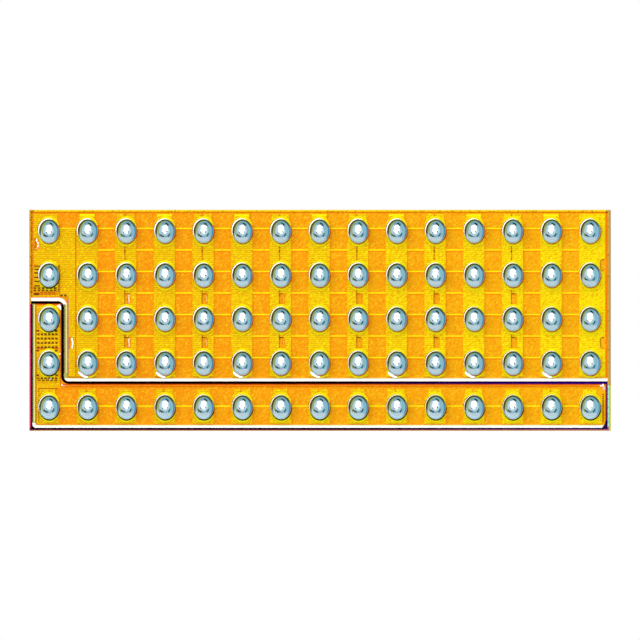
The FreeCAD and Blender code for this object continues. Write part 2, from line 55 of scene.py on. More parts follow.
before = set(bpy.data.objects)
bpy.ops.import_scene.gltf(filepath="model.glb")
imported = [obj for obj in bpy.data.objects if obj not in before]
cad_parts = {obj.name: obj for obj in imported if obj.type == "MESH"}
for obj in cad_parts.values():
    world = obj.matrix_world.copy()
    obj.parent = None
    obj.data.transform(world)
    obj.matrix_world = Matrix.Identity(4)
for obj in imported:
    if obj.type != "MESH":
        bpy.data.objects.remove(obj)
CAD_LOW, CAD_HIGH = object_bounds()

MM = 0.001
COLUMNS = range(15)
ODD_COLUMNS = range(1, 15, 2)
EVEN_COLUMNS = range(0, 15, 2)
TAP_COLUMNS = EVEN_COLUMNS[1:-1]
BARS = {"switch": ODD_COLUMNS, "ground": TAP_COLUMNS, "input": EVEN_COLUMNS, "output": ODD_COLUMNS}
BUS_NODES = [f"{net}_bar_{column:02d}" for net, columns in BARS.items() for column in columns]
BUS_NODES += ["ground_end_plate", "ground_end_bar"]
PAD_NODES = ["low_side_gate_pad", "high_side_gate_pad", "gate_return_pad"]
BUMP_NODES = [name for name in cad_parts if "_bump" in name and "pads" not in name]
BUS_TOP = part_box("ground_end_bar")[1].z
FIELD_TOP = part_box("low_side_dielectric")[1].z
EDGE_LINE_LOW, EDGE_LINE_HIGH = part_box("island_edge_line")
# The film of the input row goes on beyond the island's edge line.
ROW_TOP = EDGE_LINE_HIGH.y + 0.012 * MM
GUARD_WIDTH = 0.034 * MM
GUARD_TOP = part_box("low_side_guard_strip")[1].y
STRIP_WIDTH = 0.03 * MM


def middle_of(node):
    low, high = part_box(node)
    return (low + high) / 2


# The first row's switch bumps stand on columns 1 to 13, so their middle is column 7.
FIRST_X = middle_of("low_side_gate_bump").x
FIRST_Y = middle_of("switch_bumps_row_1").y
COLUMN_PITCH = (middle_of("switch_bumps_row_1").x - FIRST_X) / 7
ROW_PITCH = (FIRST_Y - middle_of("switch_bumps_row_5").y) / 4
GATE_LINE_COUNT = 7
GATE_LINE_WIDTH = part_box("island_gate_line")[1].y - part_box("island_gate_line")[0].y
GATE_LINE_LOW, GATE_LINE_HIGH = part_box("low_side_gate_lines")
GATE_LINE_PITCH = (GATE_LINE_HIGH.y - GATE_LINE_LOW.y - GATE_LINE_WIDTH) / (GATE_LINE_COUNT - 1)


def linear(hex_colour):
    """An sRGB hex colour as linear red, green and blue."""
    shares = [int(hex_colour[start:start + 2], 16) / 255 for start in (0, 2, 4)]
    return [share / 12.92 if share <= 0.04045 else ((share + 0.055) / 1.055) ** 2.4 for share in shares]


def column_x(column):
    return FIRST_X + column * COLUMN_PITCH


def row_y(row):
    return FIRST_Y - (row - 1) * ROW_PITCH


class DieSizes(bpy.types.PropertyGroup):
    """Sizes of the surface detail"""

    bump_width: bpy.props.FloatProperty(
        name="Bump width", description="Bump across its belly", default=0.000212, unit="LENGTH", precision=6
    )
    bump_length: bpy.props.FloatProperty(
        name="Bump length", description="Bump along its belly", default=0.000253, unit="LENGTH", precision=6
    )
    belly_height: bpy.props.FloatProperty(
        name="Belly height", description="Belly above the bump's foot", default=0.000072, unit="LENGTH",
        precision=6,
    )
    finger_pitch: bpy.props.FloatProperty(
        name="Finger pitch", description="Pitch of the fingers under the bars", default=0.00002,
        unit="LENGTH", precision=6,
    )
    speckle: bpy.props.FloatProperty(
        name="Speckle", description="Grain of the amber film", default=0.000015, unit="LENGTH", precision=6
    )
    film: bpy.props.FloatProperty(
        name="Film", description="Thickness of the fine raised lines", default=0.000001, unit="LENGTH",
        precision=7,
    )
    # The pale lip is a painted highlight; this is its width beside a bump of row 1.
    lip: bpy.props.FloatProperty(
        name="Lip", description="Pale lip beside a bump of row 1", default=0.000011, unit="LENGTH",
        precision=7,
    )
    gate_part_width: bpy.props.FloatProperty(
        name="Gate part width", description="Island's gate part along the die", default=0.000298,
        unit="LENGTH", precision=6,
    )
    dash: bpy.props.FloatProperty(
        name="Dash", description="Half the pitch of the poly dashes", default=0.00002, unit="LENGTH",
        precision=6,
    )
    neck_width: bpy.props.FloatProperty(
        name="Neck width", description="Bright cap on a neck", default=0.000152, unit="LENGTH", precision=6
    )
    bar_offset: bpy.props.FloatProperty(
        name="Bar offset", description="Bar's middle left of its bumps", default=0.0000075, unit="LENGTH",
        precision=7,
    )
    slit_offset: bpy.props.FloatProperty(
        name="Slit offset", description="Slit's middle left of its bumps", default=0.000016, unit="LENGTH",
        precision=6,
    )
    tap_length: bpy.props.FloatProperty(
        name="Tap length", description="Gate tap across the die", default=0.000127, unit="LENGTH", precision=6
    )
    tap_width: bpy.props.FloatProperty(
        name="Tap width", description="Gate tap along the die", default=0.000066, unit="LENGTH", precision=6
    )
    tap_rise: bpy.props.FloatProperty(
        name="Tap rise", description="Gate tap above the row below it", default=0.000209, unit="LENGTH",
        precision=6,
    )
    edge_tap_width: bpy.props.FloatProperty(
        name="Edge tap width", description="Gate tap at a plate's edge", default=0.000054, unit="LENGTH",
        precision=6,
    )
    left_tap_rise: bpy.props.FloatProperty(
        name="Left tap rise", description="Upper left tap above row 2", default=0.00032, unit="LENGTH",
        precision=6,
    )
    right_tap_rise: bpy.props.FloatProperty(
        name="Right tap rise", description="Upper right tap above row 2", default=0.000105, unit="LENGTH",
        precision=6,
    )


class DieColours(bpy.types.PropertyGroup):
    """Colours of the finishes"""

    amber_left: bpy.props.FloatVectorProperty(
        name="Amber, left end", description="Amber film at the gate end", default=linear("fe9a06"),
        subtype="COLOR",
    )
    amber_right: bpy.props.FloatVectorProperty(
        name="Amber, right end", description="Amber film at the far end", default=linear("feb704"),
        subtype="COLOR",
    )
    bus_left: bpy.props.FloatVectorProperty(
        name="Bus metal, left end", description="Bus bars at the gate end", default=linear("f6c30a"),
        subtype="COLOR",
    )
    bus_right: bpy.props.FloatVectorProperty(
        name="Bus metal, right end", description="Bus bars at the far end", default=linear("fbe109"),
        subtype="COLOR",
    )
    gate_metal: bpy.props.FloatVectorProperty(
        name="Gate metal", description="Bright gate lines", default=linear("fce80d"), subtype="COLOR"
    )
    dark_amber: bpy.props.FloatVectorProperty(
        name="Dark amber", description="Shaded edges of the grooves", default=linear("fb9006"),
        subtype="COLOR",
    )
    # The guard strips' near white is partly painted highlight.
    pale_metal: bpy.props.FloatVectorProperty(
        name="Pale metal", description="Guard strips", default=linear("fbfbf4"), subtype="COLOR"
    )
    solder: bpy.props.FloatVectorProperty(
        name="Solder", description="Crown of a bump", default=linear("e6eef2"), subtype="COLOR"
    )
    # The skirt colours are painted reflection and shade, set by the way a bump's side faces.
    skirt_painted_olive: bpy.props.FloatVectorProperty(
        name="Solder, olive", description="Skirt of a bump, upper left", default=linear("34421a"),
        subtype="COLOR",
    )
    skirt_painted_blue: bpy.props.FloatVectorProperty(
        name="Solder, blue", description="Skirt of a bump, right", default=linear("4aa0d8"), subtype="COLOR"
    )
    silicon: bpy.props.FloatVectorProperty(
        name="Silicon", description="Ground and sawn silicon", default=linear("3a3b40"), subtype="COLOR"
    )


def picked(name):
    """One of the panel's colours."""
    return tuple(getattr(bpy.context.scene.die_colours, name))


def add_node(tree, kind, inputs=None, **settings):
    """A shader node with its settings. An input's value is a constant, or a socket that it is linked to."""
    node = tree.nodes.new(kind)
    for name, setting in settings.items():
        setattr(node, name, setting)
    for name, source in (inputs or {}).items():
        if isinstance(source, bpy.types.NodeSocket):
            tree.links.new(source, node.inputs[name])
        else:
            node.inputs[name].default_value = source
    return node


def new_material(name):
    """An empty material with its node tree."""
    finish = bpy.data.materials.new(name)
    finish.use_nodes = True
    finish.node_tree.nodes.clear()
    return finish, finish.node_tree


def close_material(finish, kind, inputs):
    """Gives the material a shader with the given inputs."""
    shader = add_node(finish.node_tree, kind, inputs)
    add_node(finish.node_tree, "ShaderNodeOutputMaterial", {"Surface": shader.outputs[0]})
    return finish


def coated(finish, inputs):
    return close_material(finish, "ShaderNodeBsdfPrincipled", inputs)


def object_place(tree):
    """X, Y and Z of the Object coordinates."""
    place = add_node(tree, "ShaderNodeTexCoord")
    return add_node(tree, "ShaderNodeSeparateXYZ", {"Vector": place.outputs["Object"]}).outputs


def in_millimetres(tree, turn=0.0, stretch=(1.0, 1.0, 1.0)):
    """Object coordinates counted in millimetres, turned about Z and stretched."""
    inputs = {
        "Vector": add_node(tree, "ShaderNodeTexCoord").outputs["Object"], "Rotation": (0, 0, turn),
        "Scale": [MM / share for share in stretch],
    }
    return add_node(tree, "ShaderNodeMapping", inputs, vector_type="TEXTURE").outputs["Vector"]


def grains(tree, per_mm, detail, turn=0.0, stretch=(1.0, 1.0, 1.0), roughness=0.5):
    """Noise from 0 to 1 with its grains counted to the millimetre."""
    inputs = {
        "Vector": in_millimetres(tree, math.radians(turn), stretch), "Scale": per_mm, "Detail": detail,
        "Roughness": roughness,
    }
    return add_node(tree, "ShaderNodeTexNoise", inputs).outputs["Fac"]


def spread(tree, amount, low, high, start=0.0, end=1.0):
    """The low value where the amount is at its start, and the high one where it is at its end."""
    inputs = {"Value": amount, "From Min": start, "From Max": end, "To Min": low, "To Max": high}
    return add_node(tree, "ShaderNodeMapRange", inputs).outputs["Result"]


def blend(tree, share, first, second):
    """The first colour where the share is 0, and the second where it is 1."""
    mix = add_node(tree, "ShaderNodeMix", {"Factor": share}, data_type="RGBA")
    for socket, source in ((mix.inputs[6], first), (mix.inputs[7], second)):
        if isinstance(source, bpy.types.NodeSocket):
            tree.links.new(source, socket)
        else:
            socket.default_value = (*source, 1)
    return mix.outputs[2]


def along_die(tree, left, right):
    """Colour that goes from the gate end's to the far end's, as the film's thickness does over the wafer."""
    return blend(tree, spread(tree, object_place(tree)["X"], 0.0, 1.0, CAD_LOW.x, CAD_HIGH.x), left, right)


def shade_by(tree, colour, pattern, low, high):
    """The colour made darker and lighter by a pattern from 0 to 1."""
    level = spread(tree, pattern, low, high)
    return add_node(tree, "ShaderNodeVectorMath", {0: colour, 1: level}, operation="MULTIPLY").outputs[0]


def ramp(tree, amount, low, high):
    """0 up to the low amount and 1 from the high one, with a smooth step between."""
    inputs = {"Value": amount, "From Min": low, "From Max": high}
    return add_node(tree, "ShaderNodeMapRange", inputs, interpolation_type="SMOOTHSTEP").outputs["Result"]


def combine(tree, first, second, operation):
    return add_node(tree, "ShaderNodeMath", {0: first, 1: second}, operation=operation).outputs[0]


def inside(tree, low, high):
    """1 between two plan corners and 0 outside them."""
    parts = object_place(tree)
    beyond_low = [combine(tree, parts[axis], getattr(low, axis.lower()), "GREATER_THAN") for axis in "XY"]
    before_high = [combine(tree, parts[axis], getattr(high, axis.lower()), "LESS_THAN") for axis in "XY"]
    return combine(
        tree, combine(tree, *beyond_low, "MULTIPLY"), combine(tree, *before_high, "MULTIPLY"), "MULTIPLY"
    )


def near_island(tree):
    """1 beside the island, which is at the gate end and along the input row, and 0 beside the low side."""
    ring_low, ring_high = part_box("seal_ring")
    island_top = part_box("island_mesa")[1].y
    gate_part = inside(tree, ring_low, Vector((middle_of("low_side_gate_bump").x, island_top, 0)))
    input_row = inside(tree, ring_low, Vector((ring_high.x + MM, EDGE_LINE_HIGH.y, 0)))
    return combine(tree, gate_part, input_row, "MAXIMUM")


def edge_colour(tree, low_side, island, bottom):
    """Colour by place along the die's edge.

    The low side has one for its top, left and right edges, the island has one for its left and right ones,
    and the bottom edge goes from one to another along the die.
    """
    parts = object_place(tree)
    reach = 0.05 * MM
    at_left = combine(tree, parts["X"], CAD_LOW.x + reach, "LESS_THAN")
    at_right = combine(tree, parts["X"], CAD_HIGH.x - reach, "GREATER_THAN")
    at_bottom = combine(tree, parts["Y"], CAD_LOW.y + 0.8 * reach, "LESS_THAN")
    top, left, right = (linear(colour) for colour in low_side)
    beside_low = blend(tree, at_right, blend(tree, at_left, top, left), right)
    beside_island = blend(tree, at_right, linear(island[0]), linear(island[1]))
    along = blend(tree, ramp(tree, parts["X"], 0.0, CAD_HIGH.x), linear(bottom[0]), linear(bottom[1]))
    beside_island = blend(tree, at_bottom, beside_island, along)
    return blend(tree, near_island(tree), beside_low, beside_island)


def relief(tree, height, distance):
    return add_node(tree, "ShaderNodeBump", {"Height": height, "Distance": distance}).outputs["Normal"]


def sawn_silicon():
    """Single-crystal silicon: a grey semi-metal with fine scratches where it is ground and sawn.

    The trench floor is painted nearly black, a painted shade in the deep trench, and turns violet towards the
    far end. The saw street keeps a tan oxide.
    """
    finish, tree = new_material("sawn_silicon")
    scratches = grains(tree, 1.0, 3.0, stretch=(4.0, 4.0, 90.0))
    arcs = add_node(
        tree, "ShaderNodeTexWave",
        {"Vector": in_millimetres(tree, 0.3), "Scale": 6.0, "Distortion": 1.5, "Detail": 2.0},
        wave_type="BANDS", bands_direction="DIAGONAL",
    )
    both = combine(tree, scratches, arcs.outputs["Fac"], "MULTIPLY")
    ground = shade_by(tree, picked("silicon"), both, 0.8, 1.3)
    parts = object_place(tree)
    on_top = combine(tree, parts["Z"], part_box("silicon_substrate")[1].z - 0.002 * MM, "GREATER_THAN")
    street = edge_colour(tree, ("f8cc10", "d8a050", "d4b888"), ("d86890", "fce040"), ("ec7c90", "fcf088"))
    # Painted shade: the trench floor is nearly black, going violet towards the far end.
    floor = blend(tree, ramp(tree, parts["X"], 0.0, CAD_HIGH.x), linear("100202"), linear("2c0098"))
    face = blend(tree, inside(tree, *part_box("seal_ring")), street, floor)
    return coated(finish, {
        "Base Color": blend(tree, on_top, ground, face), "Roughness": spread(tree, scratches, 0.3, 0.5),
        "IOR": 3.4, "Specular IOR Level": spread(tree, on_top, 0.5, 0.0),
        "Normal": relief(tree, scratches, 0.000002),
    })


def epitaxial_layer():
    """Grown crystal layer with a polished face: almost black, with a violet cast from its thin oxide."""
    finish, tree = new_material("epitaxial_layer")
    colour = shade_by(tree, linear("2a1020"), grains(tree, 3.0, 2.0), 0.7, 1.4)
    return coated(finish, {"Base Color": colour, "Roughness": 0.4, "Specular IOR Level": 0.1})


def amber_polyimide():
    """Spun polyimide over the fingers: a deep amber film. Its speckle is finger relief seen through it."""
    finish, tree = new_material("amber_polyimide")
    speckle = grains(tree, MM / bpy.context.scene.die_sizes.speckle, 2.0, 40, (0.55, 1.2, 1.0), 0.6)
    body = along_die(tree, picked("amber_left"), picked("amber_right"))
    body = shade_by(tree, body, grains(tree, 2.2, 2.0), 0.95, 1.05)
    darker = blend(tree, ramp(tree, speckle, 0.5, 0.28), body, linear("fa8c04"))
    colour = blend(tree, ramp(tree, speckle, 0.52, 0.7), darker, linear("ffd020"))
    return coated(finish, {
        "Base Color": colour, "Roughness": 0.6, "IOR": 1.6, "Specular IOR Level": 0.03,
        "Normal": relief(tree, speckle, 0.000001),
    })


def finger_metal():
    """Plated bus film over crosswise fingers: satin yellow metal with fine lines at the finger pitch."""
    finish, tree = new_material("finger_metal")
    lines_per_mm = MM / bpy.context.scene.die_sizes.finger_pitch
    # A band wave of scale 1 has about 3.18 lines a unit, which is 20 / (2 pi).
    lines = add_node(
        tree, "ShaderNodeTexWave",
        {"Vector": in_millimetres(tree), "Scale": lines_per_mm * 2 * math.pi / 20, "Distortion": 1.6,
         "Detail": 2.0, "Detail Scale": 3.0},
        wave_type="BANDS", bands_direction="Y",
    ).outputs["Fac"]
    grain = grains(tree, 48.0, 2.0, 38, (0.6, 1.2, 1.0))
    body = along_die(tree, picked("bus_left"), picked("bus_right"))
    # The film is thinner at the gate end, so the fingers show most there.
    depth = spread(tree, object_place(tree)["X"], 0.85, 0.25, CAD_LOW.x, CAD_HIGH.x)
    troughs = combine(tree, ramp(tree, lines, 0.5, 0.1), depth, "MULTIPLY")
    body = blend(tree, troughs, body, linear("c8960a"))
    darker = blend(tree, ramp(tree, grain, 0.52, 0.3), body, linear("f0a408"))
    colour = blend(tree, ramp(tree, grain, 0.55, 0.75), darker, linear("fff010"))
    return coated(finish, {
        "Base Color": colour, "Metallic": 0.35, "Roughness": 0.6, "Specular IOR Level": 0.03,
        "Normal": relief(tree, lines, 0.0000005),
    })


def bright_gate_metal():
    """Thin gate routing on its smooth groove floor: the brightest yellow on the die. The same yellow is
    painted light in the rings round the bumps.
    """
    finish, tree = new_material("bright_gate_metal")
    colour = shade_by(tree, picked("gate_metal"), grains(tree, 30.0, 2.0), 0.8, 1.1)
    return coated(
        finish, {"Base Color": colour, "Metallic": 0.3, "Roughness": 0.5, "Specular IOR Level": 0.03}
    )


def tinted_film(name, colour, low=0.8, high=1.2):
    """A dull thin film of one colour with a fine grain, which makes it darker and lighter by two shares."""
    finish, tree = new_material(name)
    shaded = shade_by(tree, colour, grains(tree, 35.0, 1.0), low, high)
    return coated(finish, {"Base Color": shaded, "Roughness": 0.55, "Specular IOR Level": 0.03})


def dark_amber_edge():
    """Polyimide that slopes into a groove: the same amber, darker because it is turned from the light."""
    return tinted_film("dark_amber_edge", picked("dark_amber"))


def tan_edge():
    """Film over the low side's outer edge: tan with brown specks, as painted shade there. The gate taps' poly
    lines use it too.
    """
    finish, tree = new_material("tan_edge")
    specks = ramp(tree, grains(tree, 45.0, 1.0), 0.42, 0.62)
    colour = blend(tree, specks, linear("dc9a18"), linear("a06a10"))
    return coated(finish, {"Base Color": colour, "Roughness": 0.55, "Specular IOR Level": 0.03})


def pale_nitride():
    """White painted highlight: where nitride slopes towards the light at an opening's lip, the softbox it
    would mirror is painted in as a white line.
    """
    finish, tree = new_material("pale_nitride")
    colour = shade_by(tree, linear("ffffff"), grains(tree, 12.0, 1.0), 0.95, 1.0)
    return coated(finish, {"Base Color": colour, "Metallic": 0.75, "Roughness": 0.35})


def ring_metal():
    """Seal ring of stacked vias under a thin film: yellow dashed with brown, and pink beside the island."""
    finish, tree = new_material("ring_metal")
    dashes = grains(tree, 45.0, 1.0, roughness=0.4)
    film = edge_colour(tree, ("fcde0c", "dc9c1c", "e0ac28"), ("cc2c68", "98ece4"), ("68083c", "a8546c"))
    colour = shade_by(tree, film, ramp(tree, dashes, 0.66, 0.54), 0.5, 1.0)
    return coated(
        finish, {"Base Color": colour, "Metallic": 0.2, "Roughness": 0.55, "Specular IOR Level": 0.03}
    )


def pale_guard_metal():
    """Bare aluminium guard metal: a bright smooth film with a faint green cast, painted up to white as a
    painted highlight.
    """
    finish, tree = new_material("pale_guard_metal")
    low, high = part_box("island_guard_strip")
    # The strips' upright runs are painted yellow-green instead of white: painted shade, as they are turned
    # from the light that the level runs catch.
    upright_low = Vector((low.x - MM, low.y + 0.05 * MM, 0))
    upright_high = Vector((low.x + 0.06 * MM, high.y + 0.01 * MM, 0))
    outer_run = inside(tree, upright_low, upright_high)
    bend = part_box("high_side_gate_pad")[1].x
    inner_low = Vector((bend, EDGE_LINE_HIGH.y + 0.07 * MM, 0))
    inner_run = inside(tree, inner_low, Vector((bend + MM, GUARD_TOP - 0.07 * MM, 0)))
    upright = combine(tree, outer_run, inner_run, "MAXIMUM")
    bare = blend(tree, upright, picked("pale_metal"), linear("9fa552"))
    colour = shade_by(tree, bare, grains(tree, 25.0, 2.0), 0.94, 1.04)
    return coated(finish, {"Base Color": colour, "Metallic": 0.4, "Roughness": 0.45})


def nickel_plating():
    """Electroless nickel under the bumps: warm grey, fine grained and half dull."""
    finish, tree = new_material("nickel_plating")
    grain = grains(tree, 80.0, 2.0)
    colour = shade_by(tree, linear("b9ab8a"), grain, 0.8, 1.15)
    normal = relief(tree, grain, 0.0000005)
    return coated(finish, {"Base Color": colour, "Metallic": 1.0, "Roughness": 0.4, "Normal": normal})


def reflowed_solder():
    """Lead-free solder after reflow: a silver skin drawn smooth by surface tension, with faint grain ripples.

    The skirt under the crown has painted reflection and shade in its colour, by the way it faces: olive at
    the upper left, teal at the top, blue at the right and pale elsewhere.
    """
    finish, tree = new_material("reflowed_solder")
    ripples = grains(tree, 14.0, 3.0)
    crown = shade_by(tree, picked("solder"), ripples, 0.94, 1.05)
    normal = add_node(tree, "ShaderNodeTexCoord").outputs["Normal"]
    steepness = add_node(tree, "ShaderNodeSeparateXYZ", {"Vector": normal}).outputs["Z"]
    foot = ramp(tree, steepness, 0.72, 0.6)
    colour = blend(tree, foot, linear("d2f0fa"), linear("b4e8f8"))
    # Each side of painted reflection and shade: the way it faces, where it starts and is full, and its
    # colours above and at the foot.
    for facing, start, full, above, below in (
        ((0.95, 0.3, 0.0), 0.2, 0.7, "8cc4d4", picked("skirt_painted_blue")),
        ((0.15, 0.99, 0.0), 0.25, 0.6, "6ca8b0", linear("2a4630")),
        ((-0.8, 0.6, 0.0), 0.3, 0.65, "8c9c50", picked("skirt_painted_olive")),
    ):
        side = add_node(tree, "ShaderNodeVectorMath", {0: normal, 1: facing}, operation="DOT_PRODUCT")
        tint = blend(tree, foot, linear(above), below)
        colour = blend(tree, ramp(tree, side.outputs["Value"], start, full), colour, tint)
    skirt = ramp(tree, steepness, 0.8, 0.72)
    colour = blend(tree, skirt, crown, colour)
    # From the belly down the painted colour gives way to plain metal, which mirrors the die.
    belly = ramp(tree, steepness, 0.42, 0.2)
    colour = blend(tree, belly, colour, linear("ccd4d8"))
    # Where the skirt's colour is painted, the metal is made dull so that the painted colour shows.
    painted_skirt = combine(tree, skirt, belly, "SUBTRACT")
    smooth = spread(tree, grains(tree, 60.0, 2.0), 0.1, 0.16)
    rough = combine(tree, smooth, combine(tree, painted_skirt, 0.35, "MULTIPLY"), "ADD")
    return coated(finish, {
        "Base Color": colour, "Metallic": spread(tree, painted_skirt, 1.0, 0.1), "Roughness": rough,
        "Specular IOR Level": 0.2, "Normal": relief(tree, ripples, 0.0000015),
    })


# The colour of each tinted film, and how dark and light its grain makes it.
TINTED_FILMS = {
    # Polyimide over the steep edge of the island, where it is thickest and reddest; the same red orange
    # floors the gate taps, and is painted shadow in the orange lips round the bumps.
    "burnt_orange_edge": ("da5a10", 0.8, 1.2),
    # Buried polysilicon seen through the film: fine brown lines. The same brown is painted shade at the edge
    # of the pale lips round the bumps.
    "brown_poly_line": ("7c4a08", 0.7, 1.3),
    # Floor of a slit: amber painted at its lightest, which is painted light that offsets the shade in the
    # narrow slit.
    "thin_polyimide": ("ffb41c", 0.9, 1.0),
    # Nearly black with a violet cast: painted shade on the strips' shaded sides and in the dark corner spot.
    "black_violet_oxide": ("301028", 0.7, 1.3),
    # Guard metal under the edge of the polyimide: the white metal turned pale yellow. In the gate taps the
    # same pale yellow is a fainter painted glint.
    "pale_yellow_film": ("faec90", 0.9, 1.0),
    # Wall of the opening under a bump's lower side: dark brown, since the bump keeps the light off it.
    "shaded_opening": ("3c1e06", 0.8, 1.2),
    # Field oxide at the foot of the guard strip: its interference colour is violet.
    "violet_oxide": ("a070c8", 0.8, 1.2),
    # Nitride over bare aluminium: a pale pink patch.
    "pink_nitride": ("f6cfe0", 0.9, 1.05),
}
FINISHES = {
    make.__name__: make
    for make in (
        sawn_silicon, epitaxial_layer, amber_polyimide, finger_metal, bright_gate_metal, dark_amber_edge,
        tan_edge, pale_nitride, ring_metal, pale_guard_metal, nickel_plating, reflowed_solder,
    )
}


def finish_of(name):
    """The material of that name, made at its first use."""
    if name in bpy.data.materials:
        return bpy.data.materials[name]
    if name in FINISHES:
        return FINISHES[name]()
    colour, low, high = TINTED_FILMS[name]
    return tinted_film(name, linear(colour), low, high)


def dress(nodes, finish_name):
    """Gives CAD nodes a finish."""
    for name in nodes:
        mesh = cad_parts[name].data
        mesh.materials.clear()
        mesh.materials.append(finish_of(finish_name))


def make_object(name, shape, finish):
    """Turns a bmesh into an object of the scene."""
    mesh = bpy.data.meshes.new(name)
    shape.to_mesh(mesh)
    shape.free()
    mesh.materials.append(finish)
    made = bpy.data.objects.new(name, mesh)
    bpy.context.scene.collection.objects.link(made)
    return made


def add_piece(name, shape, finish_name):
    """Turns a bmesh into a piece that rides on the die."""
    bmesh.ops.remove_doubles(shape, verts=shape.verts, dist=1e-9)
    bmesh.ops.recalc_face_normals(shape, faces=shape.faces)
    piece = make_object(name, shape, finish_of(finish_name))
    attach(piece, "root")
    return piece


def add_plate(shape, left, right, bottom, top, floor, films=1):
    """One flat plate between two plan corners, as thick as the given count of films."""
    thickness = films * bpy.context.scene.die_sizes.film
    size = (right - left, top - bottom, thickness)
    middle = ((left + right) / 2, (bottom + top) / 2, floor + thickness / 2)
    bmesh.ops.create_cube(shape, size=1, matrix=Matrix.LocRotScale(Vector(middle), None, Vector(size)))


def add_plate_at(shape, x, y, sides, floor, films=1):
    """A plate with its left, right, bottom and top given in millimetres from a point."""
    left, right, bottom, top = (side * MM for side in sides)
    add_plate(shape, x + left, x + right, y + bottom, y + top, floor, films)


def add_dashes(shape, left, right, middle, thickness, floor):
    """A row of short dashes along X, each longer than its gap."""
    count = max(1, round((right - left) / (2 * bpy.context.scene.die_sizes.dash)))
    pitch = (right - left) / count
    length = 0.68 * pitch
    for number in range(count):
        start = left + number * pitch
        add_plate(shape, start, start + length, middle - thickness / 2, middle + thickness / 2, floor)


def from_point(x, y, offsets):
    """Plan corners from their offsets in millimetres."""
    return [(x + along * MM, y + across * MM) for along, across in offsets]


def add_polygon(shape, corners, floor, films=1):
    """A flat plate with the given plan corners."""
    ring = [shape.verts.new((x, y, floor)) for x, y in corners]
    face = shape.faces.new(ring)
    grown = bmesh.ops.extrude_face_region(shape, geom=[face])
    tops = [item for item in grown["geom"] if isinstance(item, bmesh.types.BMVert)]
    bmesh.ops.translate(shape, vec=(0, 0, films * bpy.context.scene.die_sizes.film), verts=tops)


def add_crescent(shape, x, y, start, end, width, films):
    """A crescent round a bump's belly, widest halfway between two turns from +X in degrees."""
    sizes = bpy.context.scene.die_sizes
    steps = 14
    # The inner edge is tucked under the bump, and the power keeps the ends from being thin for long.
    tuck = 0.012 * MM
    fullness = 0.7
    outer = []
    inner = []
    for step in range(steps + 1):
        turn = math.radians(start + (end - start) * step / steps)
        reach = width * math.sin(math.pi * step / steps) ** fullness
        for ring, grow in ((inner, -tuck), (outer, reach)):
            along = (sizes.bump_width / 2 + grow) * math.cos(turn)
            across = (sizes.bump_length / 2 + grow) * math.sin(turn)
            ring.append((x + along, y + across))
    for step in range(steps):
        add_polygon(shape, [inner[step], outer[step], outer[step + 1], inner[step + 1]], BUS_TOP, films)


def add_uprights(shape, right, middle, half, width, rows, films=1):
    """Upright plates in a gate tap.

    A row gives where one starts and ends, as shares of half the tap's length, and its inset from the right.
    """
    for start, end, inset in rows:
        left = right - inset * MM
        add_plate(
            shape, left, left + width * MM, middle + start * half, middle + end * half, FIELD_TOP, films
        )


class DIE_OT_silicon(bpy.types.Operator):
    """Finish the silicon and the layers grown on it"""

    bl_idname = "die.silicon"
    bl_label = "Silicon"

    def execute(self, context):
        dress(["silicon_substrate"], "sawn_silicon")
        dress(["low_side_mesa", "island_mesa"], "epitaxial_layer")
        return {"FINISHED"}


class DIE_OT_amber_film(bpy.types.Operator):
    """Finish the amber film and its gate lines, and add the dark edge under each line"""

    bl_idname = "die.amber_film"
    bl_label = "Amber film"

    def execute(self, context):
        sizes = context.scene.die_sizes
        dress(["low_side_dielectric", "island_dielectric"], "amber_polyimide")
        dress(["low_side_gate_lines", "island_gate_line"], "bright_gate_metal")
        edges = bmesh.new()
        for number in range(GATE_LINE_COUNT):
            top = GATE_LINE_HIGH.y - GATE_LINE_WIDTH - number * GATE_LINE_PITCH
            left = column_x(0) if number == 0 else column_x(1)
            add_plate(edges, left, column_x(14), top - 0.013 * MM, top, FIELD_TOP)
        low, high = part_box("low_side_dielectric")
        add_plate(edges, low.x, high.x, high.y - 0.014 * MM, high.y, FIELD_TOP)
        add_plate(edges, high.x - 0.018 * MM, high.x, low.y, high.y, FIELD_TOP)
        add_piece("groove_edges", edges, "dark_amber_edge")

        # A tan strip of painted shade along the low side's left edge.
        brown = bmesh.new()
        add_plate(brown, low.x, low.x + 0.014 * MM, GUARD_TOP, high.y, FIELD_TOP)
        add_piece("left_edge_shade", brown, "tan_edge")

        slopes = bmesh.new()
        low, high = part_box("island_dielectric")
        part_right = low.x + sizes.gate_part_width
        width = 0.01 * MM
        add_plate(slopes, part_right, high.x, ROW_TOP - width, ROW_TOP, FIELD_TOP)
        add_plate(slopes, part_right - width, part_right, ROW_TOP - width, high.y, FIELD_TOP)
        add_plate(slopes, low.x, part_right - width, high.y - width, high.y, FIELD_TOP)
        add_plate(slopes, high.x - 0.011 * MM, high.x, low.y, ROW_TOP - width, FIELD_TOP)
        add_piece("island_slopes", slopes, "burnt_orange_edge")

        films = bmesh.new()
        pad_low, pad_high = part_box("high_side_gate_pad")
        return_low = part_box("gate_return_pad")[0].y
        bar_low, bar_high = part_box("input_bar_00")
        film_left = pad_high.x + 0.002 * MM
        add_plate(films, film_left, part_right - width, ROW_TOP - 0.02 * MM, high.y - 2 * width, FIELD_TOP)
        film_bottom = bar_high.y + 0.012 * MM
        add_plate(films, pad_low.x, pad_high.x, film_bottom, return_low - 0.002 * MM, FIELD_TOP)
        # The film goes on beside the first input bar's neck and shoulder, which is 0.11 mm long.
        neck_left = column_x(0) - sizes.bar_offset - 0.072 * MM
        beside_neck = from_point(neck_left, bar_high.y, ((0, 0), (0, -0.05)))
        beside_bar = from_point(bar_low.x, bar_high.y, ((0, -0.108), (0, 0)))
        add_polygon(films, beside_neck + beside_bar, FIELD_TOP)
        add_piece("gate_part_films", films, "finger_metal")
        return {"FINISHED"}


